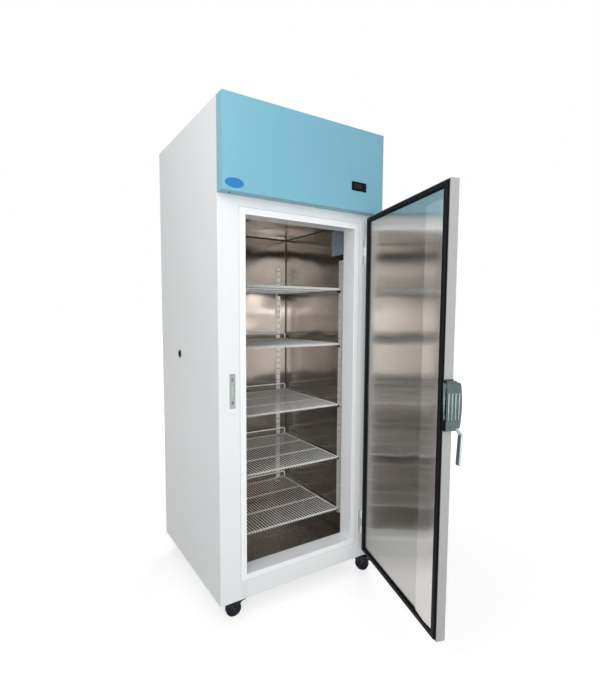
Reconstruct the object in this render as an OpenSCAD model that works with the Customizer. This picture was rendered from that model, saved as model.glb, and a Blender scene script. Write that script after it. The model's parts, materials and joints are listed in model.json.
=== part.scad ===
// Upright laboratory freezer with one solid door, shown with the door swung open.
// Left and right are as seen from the front; X runs to the right, Y to the back, Z up.

/* [Cabinet] */
// Width over the side panels
cab_w = 750; // [720:2:780]
// Depth from the front frame to the back panel
cab_d = 718; // [690:2:750]
// Height of the cabinet without its castors
cab_h = 1900; // [1880:2:1940]
// Thickness of the painted sheet steel
skin = 1.2; // [0.8:0.1:1.6]
// Width of the folded flanges of the side panels
flange_w = 18; // [12:1:22]
// Thickness of the base pan
base_t = 2; // [1.5:0.5:3]

/* [Insulation] */
// Thickness of each side wall
wall_side = 68; // [64:1:72]
// Thickness of the back wall
wall_back = 62; // [56:1:70]
// Thickness of the floor
wall_floor = 70; // [64:1:76]
// Thickness of the ceiling
wall_top = 70; // [64:1:76]
// Thickness of the stainless liner
liner_t = 1; // [0.7:0.1:1.4]

/* [Opening] */
// Width of the door opening
open_w = 525; // [515:1:535]
// Height of the sill above the cabinet's underside
sill_h = 99; // [94:1:104]
// Height of the header between the opening and the fascia
header_h = 64; // [60:1:68]
// Width of the trim frame's front face
trim_face = 25; // [20:1:28]
// Depth of the white jamb
trim_depth = 76; // [70:1:82]
// Wall thickness of the trim frame
trim_t = 3; // [2:0.5:4]
// How far the trim stands proud of the front frame
trim_proud = 1.5; // [1:0.1:2]
// Gap between the kick panel and the stiles
kick_gap = 1; // [0.5:0.1:2]

/* [Fascia] */
// Height of the fascia
fascia_h = 335; // [328:1:342]
// How far the fascia stands forward of the front frame
fascia_p = 50.7; // [47:0.1:56]
// Width of the controller's bezel
ctrl_w = 77; // [70:1:84]
// Height of the controller's bezel
ctrl_h = 36; // [32:1:40]
// Centre of the controller to the right of the cabinet's middle
ctrl_x = 240.5; // [220:0.5:250]
// Centre of the controller above the fascia's lower edge
ctrl_up = 100; // [80:1:120]
// Thickness of the bezel in front of the fascia
ctrl_t = 3; // [2:0.5:4]
// Depth of the controller's body behind the fascia
ctrl_depth = 38; // [30:1:44]
// Width of the oval badge
badge_w = 73; // [60:1:80]
// Height of the oval badge
badge_h = 34.5; // [28:0.5:40]
// Thickness of the badge
badge_t = 1.6; // [1:0.1:2.5]
// Centre of the badge from the fascia's left side
badge_in = 46.5; // [42:0.5:60]
// Centre of the badge above the fascia's lower edge
badge_up = 28; // [22:1:40]

/* [Shelves] */
// Number of wires that run front to back
wire_n = 39; // [31:2:45]
// Diameter of the thin wires
wire_d = 3.8; // [3:0.1:4.5]
// Diameter of the frame bars
bar_d = 7.5; // [6:0.5:8.5]
// Gap between the shelf and the standards on each side
shelf_side_gap = 4; // [2:0.5:6]
// Setback of the shelf's front bar behind the jamb
shelf_setback = 51; // [40:1:60]
// Gap between the shelf and the back wall
shelf_back_gap = 16; // [14:1:24]
// Height of the rail that stands up at the back of a shelf
rail_h = 28; // [20:1:34]
// Drop of the wires' bent front ends
wire_drop = 10; // [8:1:13]

/* [Standards] */
// Width of a shelf standard
std_w = 20; // [16:1:24]
// Depth of a shelf standard
std_d = 10; // [8:0.5:12]
// Sheet thickness of a shelf standard
std_t = 1.5; // [1:0.1:2]
// Pitch of the slots
slot_pitch = 32; // [30:1:34]
// Number of slots in a standard
slot_n = 38; // [36:1:39]
// Width of a slot
slot_w = 12; // [10:1:14]
// Height of a slot
slot_h = 6; // [5:0.5:7]
// Height of the standards' lower end above the liner's floor
std_up = 95; // [90:1:104]
// Distance of the rear standards from the middle
std_rear_x = 253; // [240:1:262]
// Setback of the front standards behind the shelf's front bar
std_front_back = 16; // [12:1:24]

/* [Door] */
// How far the door laps over the sides of the opening
lap_side = 39.5; // [38:0.5:41]
// How far the door laps over the top and bottom of the opening
lap_end = 48; // [44:1:50]
// Thickness of the door slab
door_t = 32; // [28:1:38]
// Thickness of the gasket
gasket_t = 9; // [7:0.5:11]
// Width of the gasket
gasket_w = 21.5; // [18:0.5:28]
// Width of the door skin's folded lip
lip_w = 14; // [10:1:18]
// Angle at which the door stands open
door_open = 73; // [60:1:80]
// Width of the stainless strip up the free side
strip_w = 105.5; // [80:0.5:114]
// Height of the strip's ridge above the door liner
strip_rise = 6; // [4:0.5:7]
// Distance of the ridge from the side beside the gasket
strip_ridge = 45; // [38:1:60]

/* [Hinges] */
// Distance of the hinge pin beyond the door's edge
pin_out = 20; // [18:0.5:23]
// Distance of the hinge pin in front of the frame
pin_fwd = 22; // [20:0.5:26]
// Diameter of the hinge pin
pin_d = 7; // [6:0.5:8]
// Diameter of the knuckles
knuckle_d = 16; // [14:0.5:18]
// Height of a hinge
hinge_h = 108; // [96:2:120]
// Height of the lower hinge's middle above the door's lower end
hinge_low_in = 117; // [100:1:160]
// Distance of the upper hinge's middle below the door's upper end
hinge_high_in = 142; // [100:1:160]
// Thickness of a hinge leaf
leaf_t = 3; // [2:0.5:4]
// Width of the leaf on the frame
leaf_w = 37; // [34:1:42]

/* [Latch] */
// Height of the latch case
latch_h = 168; // [150:2:180]
// How far the latch case stands out beyond the door's edge
latch_out = 23; // [20:0.5:25]
// Height of the latch's middle above the opening's sill
latch_up = 746; // [700:2:780]
// How far the housing bulges in front of the door
latch_bulge = 19; // [15:1:24]
// How far the housing's front is crowned from its ends to its middle
latch_crown = 6; // [3:0.5:7]
// Length of the lever's grip
lever_l = 94; // [86:2:120]
// Width of the lever
lever_w = 22; // [16:1:24]
// Thickness of the lever
lever_t = 8; // [6:0.5:10]
// Height of the strike plate
strike_h = 133; // [120:1:150]
// How far the strike's middle lies below the latch case's middle
strike_drop = 6.5; // [0:0.5:12]
// Width of the strike plate
strike_w = 24; // [20:1:25]

/* [Port] */
// Radius of the port's bore
port_r = 12.5; // [10:0.5:15]
// Wall of the port sleeve
port_wall = 2.5; // [2:0.5:4]
// Radius of the port's flanges
port_flange_r = 18; // [17:0.5:22]
// Distance of the port behind the front frame
port_y = 447; // [420:1:470]
// Height of the port above the cabinet's underside
port_up = 949; // [900:1:980]

/* [Castors] */
// Height of a castor from floor to plate
castor_h = 80; // [78:1:86]
// Diameter of a wheel
wheel_d = 63; // [58:1:65]
// Width of a wheel's tread
wheel_w = 22; // [18:1:24]
// Distance of the axle behind the swivel's centre
trail = 30; // [26:1:34]
// Side of the square top plate
plate_w = 62; // [56:1:70]
// Distance of a castor's swivel from the cabinet's sides
castor_in = 40; // [38:1:60]
// Distance of a castor's swivel from the cabinet's front and back
castor_in_y = 42; // [40:1:60]
// Thickness of the fork's cheeks
cheek_t = 2.5; // [2:0.5:3]
// Diameter of the axle
axle_d = 8; // [6:0.5:10]

/* [Machine] */
// Height of the machine compartment on top
machine_h = 290; // [280:1:300]
// Width of the finned condenser
cond_w = 270; // [240:5:280]
// Height of the finned condenser
cond_h = 240; // [220:2:250]
// Diameter of the condenser fan
cond_fan_d = 210; // [190:2:220]
// Diameter of the evaporator fan
evap_fan_d = 170; // [150:2:180]
// Width of the evaporator housing
evap_w = 240; // [230:2:260]
// Diameter of the compressor's shell
comp_d = 170; // [150:2:180]
// Height of the compressor's shell
comp_h = 195; // [180:1:205]
// Width of the control box
box_w = 210; // [180:5:230]
// Depth of the control box
box_d = 110; // [90:5:120]
// Height of the control box
box_h = 150; // [120:5:170]
// Distance of the control box behind the frame's front
box_back = 40; // [36:1:50]
// Room over the evaporator's coil
coil_room = 40; // [30:1:50]

/* [Hidden] */
$fn = 48;

// Clearance between faces of different bodies
gap = 0.3;
// Overlap of welded wires and pipes
weld = 0.4;
// Cutting tools reach this far past what they cut
cut = 1;

// Cabinet levels and planes
xo = cab_w / 2;
xs = xo - skin;
cab_z = castor_h;
cab_top = cab_z + cab_h;
deck_z = cab_top - machine_h;
liner_x = xo - wall_side;
liner_back = cab_d - wall_back;
liner_floor = cab_z + wall_floor;
liner_ceil = deck_z - wall_top;
fascia_z = cab_top - fascia_h;
open_x = open_w / 2;
sill_z = cab_z + sill_h;
head_z = fascia_z - header_h;
trim_low = sill_z - trim_face;
frame_tuck = 6;

// Door planes, with the door closed
seal_y = -trim_proud - 0.5;
slab_y = seal_y - gasket_t;
front_y = slab_y - door_t;
door_x = open_x + lap_side;
door_low = sill_z - lap_end;
door_high = head_z + lap_end;
pin_x = door_x + pin_out;
pin_y = -pin_fwd;
gasket_in = 3;

// Middle of the footprint that the open door reaches, which becomes the origin
reach_y = pin_y - (pin_x + door_x + latch_out) * sin(door_open) + (front_y - pin_y) * cos(door_open);
mid_y = (cab_d + reach_y) / 2;

// Shelves
shelf_x = liner_x - std_d - shelf_side_gap;
shelf_front = trim_depth + shelf_setback;
shelf_back = liner_back - shelf_back_gap;
std_z = liner_floor + std_up;
std_h = slot_n * slot_pitch;
slot_first = 14;
shelf_slots = [33, 25, 16, 8, 0];
clip_rest = 0.2;
function shelf_top(k) = std_z + slot_first + slot_h + shelf_slots[k] * slot_pitch + clip_rest
    + bar_d + wire_d;
std_front_y = shelf_front + std_front_back;

// Castors: place, and the way each wheel trails
castor_x = xo - castor_in;
castors = [[-castor_x, castor_in_y, -5], [castor_x, castor_in_y, -60],
    [-castor_x, cab_d - castor_in_y, 12], [castor_x, cab_d - castor_in_y, 155]];
plate_t = 3;
race_h = 7;
race_r = 20;
king_r = 5;
fork_top = castor_h - plate_t - race_h - gap;
fork_plate_t = 3;
wheel_r = wheel_d / 2;
cheek_in = wheel_w / 2 + 2;
swivel_fit = 0.08;
axle_fit = 0.08;
pedal_pin_r = 2.5;
pedal_boss = 4.4;
// The pedal's pin lies outside the tread, up and behind; its cam reaches the tread when pressed
pedal_up = 48;
pedal_reach = wheel_r + pedal_boss + 1.5;
pedal_pin = [trail, wheel_r] + pedal_reach * [cos(pedal_up), sin(pedal_up)];
pedal_turn = 18;
cam_reach = pedal_reach - wheel_r - gap;

// Latch
latch_z = sill_z + latch_up;
latch_low = latch_z - latch_h / 2;
edge_x = -door_x;
case_back = seal_y - 4;
lever_pivot = [front_y - latch_bulge / 2, latch_low + 16];
lever_pin_r = 3.5;
lever_mid_x = edge_x - latch_out / 2 + 10;
jaw_z = latch_z - 4.5;
slot_half = 40.5;
jaw_w = 6;
jaw_travel = 6;

// Machine compartment
deck_top = deck_z + 1.5;
// The evaporator stands in a well through the ceiling, under an insulated cover
well_a = [-liner_x + 12, trim_depth + 74];
well_b = [well_a[0] + evap_w - 40, well_a[1] + 410];
well_mid = (well_a[0] + well_b[0]) / 2;
cover_t = 20;
cover_top = deck_z + 200;
evap_fan_y = well_a[1] + evap_fan_d / 2 + 14;
evap_fan_z = liner_ceil + 14;
cond_depth = 40;
shroud_t = 2;
cond_y = cab_d - skin - 60;
cond_x = xs - 20 - cond_w / 2;
cond_mid_z = deck_top + cond_h / 2;
fan_y = cond_y - 40;
comp_x = 190;
comp_y = 400;
comp_z = deck_top + 12;
comp_top = comp_z + comp_h;
suction_z = deck_top + 60;
pipe_r = 5;
fin_t = 1.2;
coil_d = 170;
guard_t = 1.5;
rotor_h = 26;
motor_h = 52;
shaft_r = 4;
shaft_fit = 0.06;

// A flat outline in X and Z, made into a plate that starts at y
module plate_xz(y, t) translate([0, y + t, 0]) rotate([90, 0, 0]) linear_extrude(t) children();
// A flat outline in Y and Z, made into a plate that starts at x
module plate_yz(x, t) translate([x, 0, 0]) rotate([90, 0, 90]) linear_extrude(t) children();
module rect(a, b) translate(a) square(b - a);
module block(a, b) translate(a) cube(b - a);
module rounded_rect(a, b, r) {
    rect([a[0] + r, a[1]], [b[0] - r, b[1]]);
    rect([a[0], a[1] + r], [b[0], b[1] - r]);
    for (x = [a[0] + r, b[0] - r], y = [a[1] + r, b[1] - r]) translate([x, y]) circle(r);
}
// A straight bar between two points, with a round section
module bar(a, b, r) {
    v = b - a;
    translate(a) rotate([0, acos(v[2] / norm(v)), atan2(v[1], v[0])]) cylinder(r = r, h = norm(v));
}
module on_door() translate([pin_x, pin_y, 0]) rotate([0, 0, door_open])
    translate([-pin_x, -pin_y, 0]) children();

// Folded sheet, white: web, front and back flanges
module side_panel(side) {
    outer = side > 0 ? xs : -xo;
    in = side > 0 ? xs - flange_w : -xs;
    color("whitesmoke") difference() {
        union() {
            plate_yz(outer, skin) rect([0, cab_z], [cab_d, cab_top - skin]);
            for (y = [skin, cab_d - 2 * skin])
                block([in, y, cab_z + base_t], [in + flange_w, y + skin, cab_top - skin]);
        }
        if (side < 0) port_hole(port_r + port_wall);
    }
}
module port_hole(r) translate([-xo - cut, port_y, cab_z + port_up]) rotate([0, 90, 0])
    cylinder(r = r, h = wall_side + 2 * cut + liner_t);

module back_panel() color("whitesmoke") plate_xz(cab_d - skin, skin) difference() {
    rect([-xs, cab_z], [xs, cab_top - skin]);
    for (k = [0:13]) translate([cond_x - cond_w / 2 + 15, deck_top + 14 + k * 16])
        rounded_rect([0, 0], [cond_w - 30, 7], 3.4);
    rect(inlet_low, inlet_low + inlet);
}

module base_pan() color("gainsboro") difference() {
    block([-xs, skin, cab_z], [xs, cab_d - skin, cab_z + base_t]);
    for (c = castors) translate([c[0], c[1], cab_z - cut]) cylinder(r = 6, h = base_t + 2 * cut);
}

module top_cover() color("whitesmoke") translate([0, 0, cab_top - skin]) linear_extrude(skin) difference() {
    rect([-xo, 0], [xo, cab_d]);
    for (k = [0:17], x = [40, 210]) translate([x, 180 + k * 20]) rounded_rect([0, 0], [130, 8], 3.9);
}

// The white face round the opening: stiles, header and the strip under the sill
module front_frame() color("white") plate_xz(0, skin) difference() {
    rect([-xs, cab_z], [xs, fascia_z + 25]);
    rect([-open_x - trim_t, sill_z - trim_t], [open_x + trim_t, head_z + trim_t]);
    rect([-open_x - kick_gap, cab_z - cut], [open_x + kick_gap, trim_low + frame_tuck + kick_gap]);
    for (x = [-1, 1] * (open_x + 14)) rect([x - 0.5, cab_z - cut], [x + 0.5, trim_low - 2]);
}

module kick_panel() color("white") plate_xz(0, skin)
    rect([-open_x, cab_z], [open_x, trim_low + frame_tuck]);

// Thermal break: a flat face on the frame and a deep jamb inside the opening
module door_trim() color("snow") {
    plate_xz(-trim_proud, trim_proud) difference() {
        rect([-open_x - trim_face, trim_low], [open_x + trim_face, head_z + trim_face]);
        rect([-open_x, sill_z], [open_x, head_z]);
    }
    plate_xz(-trim_proud, trim_depth + trim_proud) difference() {
        rect([-open_x - trim_t, sill_z - trim_t], [open_x + trim_t, head_z + trim_t]);
        rect([-open_x, sill_z], [open_x, head_z]);
    }
}

// Passage through the ceiling for the evaporator
module well(low, high) block([well_a[0], well_a[1], low], [well_b[0], well_b[1], high]);

// Foam boards between the outer sheets and the liner; the port runs through the left one
slab_x = -liner_x - liner_t;
module insulation_left() color("khaki") difference() {
    block([-xs, 2 * skin, cab_z + base_t], [slab_x, cab_d - 2 * skin, deck_z]);
    port_hole(port_r + port_wall);
}
// The other boards, each a plain block a hair from the next
module cabinet_insulation() color("khaki") {
    front = 2 * skin;
    rear = cab_d - 2 * skin;
    low = cab_z + base_t;
    bx = liner_x + liner_t;
    inside = bx - gap;
    floor_z = liner_floor - liner_t;
    roof_z = liner_ceil + liner_t;
    wall_y = liner_back + liner_t;
    side_x = open_x + trim_t;
    block([bx, front, low], [xs, rear, deck_z]);
    block([slab_x, wall_y, low], [inside, rear, deck_z]);
    block([slab_x, front, low], [inside, wall_y - gap, floor_z]);
    block([slab_x, front, roof_z], [inside, well_a[1], deck_z]);
    block([slab_x, well_b[1], roof_z], [inside, wall_y - gap, deck_z]);
    block([slab_x, well_a[1] + gap, roof_z], [well_a[0], well_b[1] - gap, deck_z]);
    block([well_b[0], well_a[1] + gap, roof_z], [inside, well_b[1] - gap, deck_z]);
    for (post = [[slab_x, -side_x], [side_x, inside]])
        block([post[0], front, floor_z + gap], [post[1], trim_depth, roof_z - gap]);
    block([-side_x + gap, front, floor_z + gap], [side_x - gap, trim_depth, sill_z - trim_t]);
    block([-side_x + gap, front, head_z + trim_t], [side_x - gap, trim_depth, roof_z - gap]);
}

// Stainless box, open at the front, folded in to meet the jamb
module inner_liner() color("silver") difference() {
    block([-liner_x - liner_t, trim_depth, liner_floor - liner_t],
        [liner_x + liner_t, liner_back + liner_t, liner_ceil + liner_t]);
    block([-liner_x, trim_depth + liner_t, liner_floor], [liner_x, liner_back, liner_ceil]);
    block([-open_x, trim_depth - cut, sill_z], [open_x, trim_depth + 2 * cut, head_z]);
    well(liner_ceil - cut, liner_ceil + liner_t + cut);
    port_hole(port_r + port_wall);
}

// One slotted channel, its back on the plane y = 0 and its slots facing forward
module standard() {
    plate_xz(-std_d, std_t) difference() {
        rect([-std_w / 2, 0], [std_w / 2, std_h]);
        for (k = [0:slot_n - 1]) translate([0, slot_first + k * slot_pitch])
            rect([-slot_w / 2, 0], [slot_w / 2, slot_h]);
    }
    for (x = [-std_w / 2, std_w / 2 - std_t]) block([x, -std_d, 0], [x + std_t, 0, std_h]);
}
module at_standards() for (side = [-1, 1]) {
    translate([side * std_rear_x, liner_back, std_z]) children();
    translate([side * liner_x, std_front_y, std_z]) rotate([0, 0, -90 * side]) children();
}
module shelf_standards() color("silver") at_standards() standard();

// A clip hooks through a slot, carries the shelf's frame bar and has a nose in front of it
module clip() {
    reach = shelf_side_gap + bar_d + 6;
    plate_yz(-slot_w / 2 + 0.5, slot_w - 1) {
        polygon([[-std_d, -12], [-std_d - reach, -5], [-std_d - reach, 0], [-std_d, 0]]);
        rect([-std_d - weld, -slot_h + 0.5], [-std_d + std_t + 2, -0.5]);
        rect([-std_d + std_t + gap, -slot_h - 4], [-std_d + std_t + 2, -0.5]);
    }
}
module shelf_clips() color("dimgray") at_standards() for (k = shelf_slots)
    translate([0, 0, slot_first + slot_h + k * slot_pitch]) clip();

// White wire shelf: frame, two cross bars, and front-to-back wires bent down at the front;
// a rail with rounded corners stands up at the back
module shelf(k) {
    r = bar_d / 2;
    r_cross = r - 0.3;
    rail_r = r - 0.5;
    turn = 10;
    side = shelf_x - r;
    front = shelf_front + wire_d + r - weld;
    back = shelf_back - r;
    bar_z = weld - wire_d - r;
    pitch = 2 * side / (wire_n + 1);
    color("white") translate([0, 0, shelf_top(k)]) {
        for (x = [-side, side]) {
            bar([x, front - 0.3, bar_z], [x, back + 0.3, bar_z], r);
            for (y = [front, back]) translate([x, y, bar_z]) sphere(r + 0.1);
        }
        for (t = [0:3]) translate([0, front - 0.2 + (back + 0.2 - front) * t / 3, bar_z + 0.15])
            bar([-side, 0, 0], [side, 0, 0], r_cross);
        for (i = [1:wire_n]) translate([-side + i * pitch, shelf_front + wire_d / 2, -wire_d / 2]) {
            bar([0, -0.1, 0], [0, back + 0.7 - shelf_front - wire_d / 2, 0], wire_d / 2);
            bar([0, 0, -wire_drop], [0, 0, 0.1], wire_d / 2 - 0.05);
            sphere(wire_d / 2 + 0.05);
        }
        for (x = [-side, side]) bar([x, back, bar_z], [x, back, rail_h - turn], rail_r);
        for (m = [0, 1]) mirror([m, 0, 0]) translate([side - turn, back, rail_h - turn])
            rotate([90, 0, 0]) rotate_extrude(angle = 90) translate([turn, 0]) circle(rail_r);
        bar([turn - side, back, rail_h], [side - turn, back, rail_h], rail_r);
    }
}
module shelf_1() shelf(0);
module shelf_2() shelf(1);
module shelf_3() shelf(2);
module shelf_4() shelf(3);
module shelf_5() shelf(4);

// Black sleeve with a flange on each side of the wall
module port_sleeve() color("black") translate([-xo, port_y, cab_z + port_up]) rotate([0, 90, 0])
    rotate_extrude() {
        rect([port_r, -2], [port_r + port_wall - gap / 2, wall_side + 2]);
        for (x = [-2, wall_side]) rect([port_r, x], [port_flange_r, x + 2]);
    }

// Folded tray over the insulation, cut out for the evaporator housing
module machine_deck() color("silver") difference() {
    block([-xs, 2 * skin, deck_z], [xs, cab_d - 2 * skin, deck_top]);
    well(deck_z - cut, deck_top + cut);
}

// Blue folded front of the machine compartment, open at the back
module fascia() color([0.5, 0.74, 0.84]) difference() {
    block([-xo, -fascia_p, fascia_z], [xo, 0, cab_top]);
    block([-xo + skin, -fascia_p + skin, fascia_z + skin], [xo - skin, cut, cab_top - skin]);
    block([ctrl_x - ctrl_w / 2 + 3, -fascia_p - cut, fascia_z + ctrl_up - ctrl_h / 2 + 3],
        [ctrl_x + ctrl_w / 2 - 3, -fascia_p + 2 * cut, fascia_z + ctrl_up + ctrl_h / 2 - 3]);
}

key_x = ctrl_x + ctrl_w / 2 - 9;
key_w = 8;
key_h = 6;
function key_z(s) = fascia_z + ctrl_up + s * 7.5;
module controller_bezel() color("black") difference() {
    low = [ctrl_x - ctrl_w / 2, fascia_z + ctrl_up - ctrl_h / 2];
    high = low + [ctrl_w, ctrl_h];
    union() {
        plate_xz(-fascia_p - ctrl_t, ctrl_t) rounded_rect(low, high, 2);
        block([low[0] + 3.2, -fascia_p, low[1] + 3.2],
            [high[0] - 3.2, -fascia_p + ctrl_depth, high[1] - 3.2]);
    }
    block([low[0] + 5, -fascia_p - ctrl_t - cut, low[1] + 5],
        [key_x - key_w / 2 - 4, -fascia_p - ctrl_t + 1, high[1] - 5]);
    for (s = [-1, 1]) block([key_x - key_w / 2 - gap, -fascia_p - ctrl_t - cut, key_z(s) - key_h / 2 - gap],
        [key_x + key_w / 2 + gap, -fascia_p - ctrl_t + 4, key_z(s) + key_h / 2 + gap]);
}
module key(s) color("gray") plate_xz(-fascia_p - ctrl_t - 1.2, 3.2)
    rounded_rect([key_x - key_w / 2, key_z(s) - key_h / 2], [key_x + key_w / 2, key_z(s) + key_h / 2], 1.5);
module key_up() key(1);
module key_down() key(-1);

badge_x = -xo + badge_in;
badge_z = fascia_z + badge_up;
module badge() color([0.05, 0.5, 0.78]) plate_xz(-fascia_p - badge_t, badge_t) translate([badge_x, badge_z])
    polygon([for (a = [0:7.5:352.5]) [badge_w / 2 * cos(a), badge_h / 2 * sin(a)]]);

// Small screws: under the fascia and in the strike plate
module panel_screws() color("darkgray") {
    for (x = [-xo + 38, xo - 38]) translate([x, -22, fascia_z - 2.5]) cylinder(r1 = 3, r2 = 4, h = 2.5);
    for (s = [-1, 1]) plate_xz(-3.6, 1.6) slot_outline([strike_x, strike_z + s * strike_h * 0.33], 3.4, 3);
}
// An upright outline with round ends
module slot_outline(c, r, half) translate(c) {
    rect([-r, -half], [r, half]);
    for (s = [-1, 1]) translate([0, s * half]) circle(r);
}

strike_x = -(door_x + gap + xo) / 2 + 18.5;
strike_z = latch_z - strike_drop;
module strike_plate() color("silver") {
    plate_xz(-2, 2) rounded_rect([strike_x - strike_w / 2, strike_z - strike_h / 2],
        [strike_x + strike_w / 2, strike_z + strike_h / 2], 3);
    plate_xz(-4, 2.5) slot_outline([strike_x + 3, strike_z], 3, 24);
}

// Frame side of both hinges: leaf, web, middle knuckle and the pin pressed into it
hinge_z = [door_low + hinge_low_in, door_high - hinge_high_in];
knuckle_h = hinge_h / 3;
knuckle_gap = 0.5;
leaf_x = door_x + 5;
module knuckle(z, h) translate([pin_x, pin_y, z]) cylinder(r = knuckle_d / 2, h = h);
module hinge_frame_leaves() color("silver") for (z = hinge_z) {
    difference() {
        union() {
            plate_xz(-leaf_t, leaf_t)
                rounded_rect([leaf_x, z - hinge_h / 2], [leaf_x + leaf_w, z + hinge_h / 2], 5);
            block([pin_x - 3, pin_y, z - knuckle_h / 2], [pin_x + 3, -leaf_t + 0.5, z + knuckle_h / 2]);
            knuckle(z - knuckle_h / 2, knuckle_h);
        }
        translate([pin_x, pin_y, z - knuckle_h]) cylinder(r = pin_d / 2, h = 2 * knuckle_h);
    }
    translate([pin_x, pin_y, z - hinge_h / 2 - 2]) cylinder(r = pin_d / 2, h = hinge_h + 4);
    for (s = [-1, 1]) translate([pin_x + 14, -leaf_t, z + s * hinge_h / 3]) rotate([90, 0, 0])
        cylinder(r = 4, h = 2);
}
module hinge_door_leaves() on_door() color("silver") for (z = hinge_z) difference() {
    union() {
        plate_yz(door_x, leaf_t)
            rounded_rect([front_y + 2, z - hinge_h / 2], [slab_y - 2, z + hinge_h / 2], 4);
        for (s = [-1, 1]) {
            low = s < 0 ? z - hinge_h / 2 : z + knuckle_h / 2 + knuckle_gap;
            knuckle(low, knuckle_h - knuckle_gap);
            block([door_x + leaf_t - 0.5, pin_y - 2.5, low],
                [pin_x, pin_y + 2.5, low + knuckle_h - knuckle_gap]);
        }
    }
    translate([pin_x, pin_y, z - hinge_h]) cylinder(r = pin_d / 2 + 0.05, h = 2 * hinge_h);
}

// Plate, swivel race and king pin of each castor, riveted to the base pan
module castor_plates() color("dimgray") for (c = castors) translate([c[0], c[1], 0]) {
    translate([0, 0, castor_h - plate_t]) linear_extrude(plate_t) difference() {
        rounded_rect([-plate_w / 2, -plate_w / 2], [plate_w / 2, plate_w / 2], 6);
        for (x = [-1, 1], y = [-1, 1]) translate([x, y] * (plate_w / 2 - 9)) circle(4.2);
    }
    translate([0, 0, castor_h - plate_t - race_h]) cylinder(r = race_r, h = race_h + 0.5);
    translate([0, 0, fork_top - fork_plate_t - 2.5]) cylinder(r = king_r, h = race_h + fork_plate_t + 3);
    translate([0, 0, fork_top - fork_plate_t - 3 + gap]) cylinder(r = 7.5, h = 2.4);
}

module at_castor(i) translate([castors[i][0], castors[i][1], 0]) rotate([0, 0, castors[i][2]]) children();

// Outline of a fork cheek, from the swivel plate down to the axle
module cheek_outline() {
    z1 = fork_top - 1;
    polygon([[-race_r + 3, z1], [trail - 9, wheel_r - 1], [trail + 9, wheel_r - 1],
        [pedal_pin[0] + 5, pedal_pin[1] - 3], [pedal_pin[0] + 5, pedal_pin[1] + 3], [race_r + 6, z1]]);
    translate([trail, wheel_r]) circle(9.5);
}
// Fork, axle bolt and nut
module castor_fork(i) at_castor(i) color("dimgray") {
    difference() {
        union() {
            translate([0, 0, fork_top - fork_plate_t]) cylinder(r = race_r + 2, h = fork_plate_t);
            block([0, -cheek_in - cheek_t, fork_top - fork_plate_t],
                [race_r + 8, cheek_in + cheek_t, fork_top]);
            for (s = [0, 1]) mirror([0, s, 0]) translate([0, cheek_in + cheek_t, 0]) rotate([90, 0, 0])
                linear_extrude(cheek_t) cheek_outline();
        }
        translate([0, 0, fork_top - 2 * fork_plate_t])
            cylinder(r = king_r + swivel_fit, h = 4 * fork_plate_t);
    }
    translate([trail, -cheek_in - cheek_t - 3, wheel_r]) rotate([-90, 0, 0])
        cylinder(r = axle_d / 2, h = 2 * (cheek_in + cheek_t + 3));
    for (s = [0, 1]) mirror([0, s, 0]) translate([trail, cheek_in + cheek_t, wheel_r]) rotate([-90, 0, 0])
        cylinder(r = 6.5, h = 3.5, $fn = 6);
    if (i < 2) translate([pedal_pin[0], -cheek_in - cheek_t, pedal_pin[1]]) rotate([-90, 0, 0])
        cylinder(r = pedal_pin_r, h = 2 * (cheek_in + cheek_t));
}
module castor_fork_fl() castor_fork(0);
module castor_fork_fr() castor_fork(1);
module castor_fork_rl() castor_fork(2);
module castor_fork_rr() castor_fork(3);

// Wheel with a rounded tread, a dished side and a hub that runs on the axle
module castor_wheel(i) at_castor(i) color("black") translate([trail, 0, wheel_r]) rotate([90, 0, 0])
    rotate_extrude($fn = 64) difference() {
        union() {
            rect([axle_d / 2 + axle_fit, -wheel_w / 2], [wheel_r - 4, wheel_w / 2]);
            rect([axle_d / 2 + axle_fit, -wheel_w / 2 + 4], [wheel_r, wheel_w / 2 - 4]);
            for (s = [-1, 1]) translate([wheel_r - 4, s * (wheel_w / 2 - 4)]) circle(4);
            rect([axle_d / 2 + axle_fit, -cheek_in + 0.3], [axle_d / 2 + 4, cheek_in - 0.3]);
        }
        for (s = [-1, 1]) rect([axle_d / 2 + 4, s > 0 ? wheel_w / 2 - 3 : -wheel_w / 2 - 1],
            [wheel_r - 8, s > 0 ? wheel_w / 2 + 1 : -wheel_w / 2 + 3]);
    }
module castor_wheel_fl() castor_wheel(0);
module castor_wheel_fr() castor_wheel(1);
module castor_wheel_rl() castor_wheel(2);
module castor_wheel_rr() castor_wheel(3);

// Pedal that presses a shoe on the tread; its pin turns in the fork's cheeks
module brake_pedal(i) at_castor(i) color("black") {
    w = cheek_in - 2 * gap;
    cam = 180 + pedal_up + pedal_turn;
    translate([0, w, 0]) rotate([90, 0, 0]) linear_extrude(2 * w) translate(pedal_pin) difference() {
        union() {
            circle(pedal_boss);
            translate((cam_reach - 2) * [cos(cam), sin(cam)]) circle(2);
            polygon([[-1, pedal_boss - 0.1], [1, -pedal_boss + 0.1], [24, 1], [26, 4], [22, 5.5]]);
        }
        circle(pedal_pin_r + axle_fit);
    }
}
module brake_pedal_fl() brake_pedal(0);
module brake_pedal_fr() brake_pedal(1);

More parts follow.
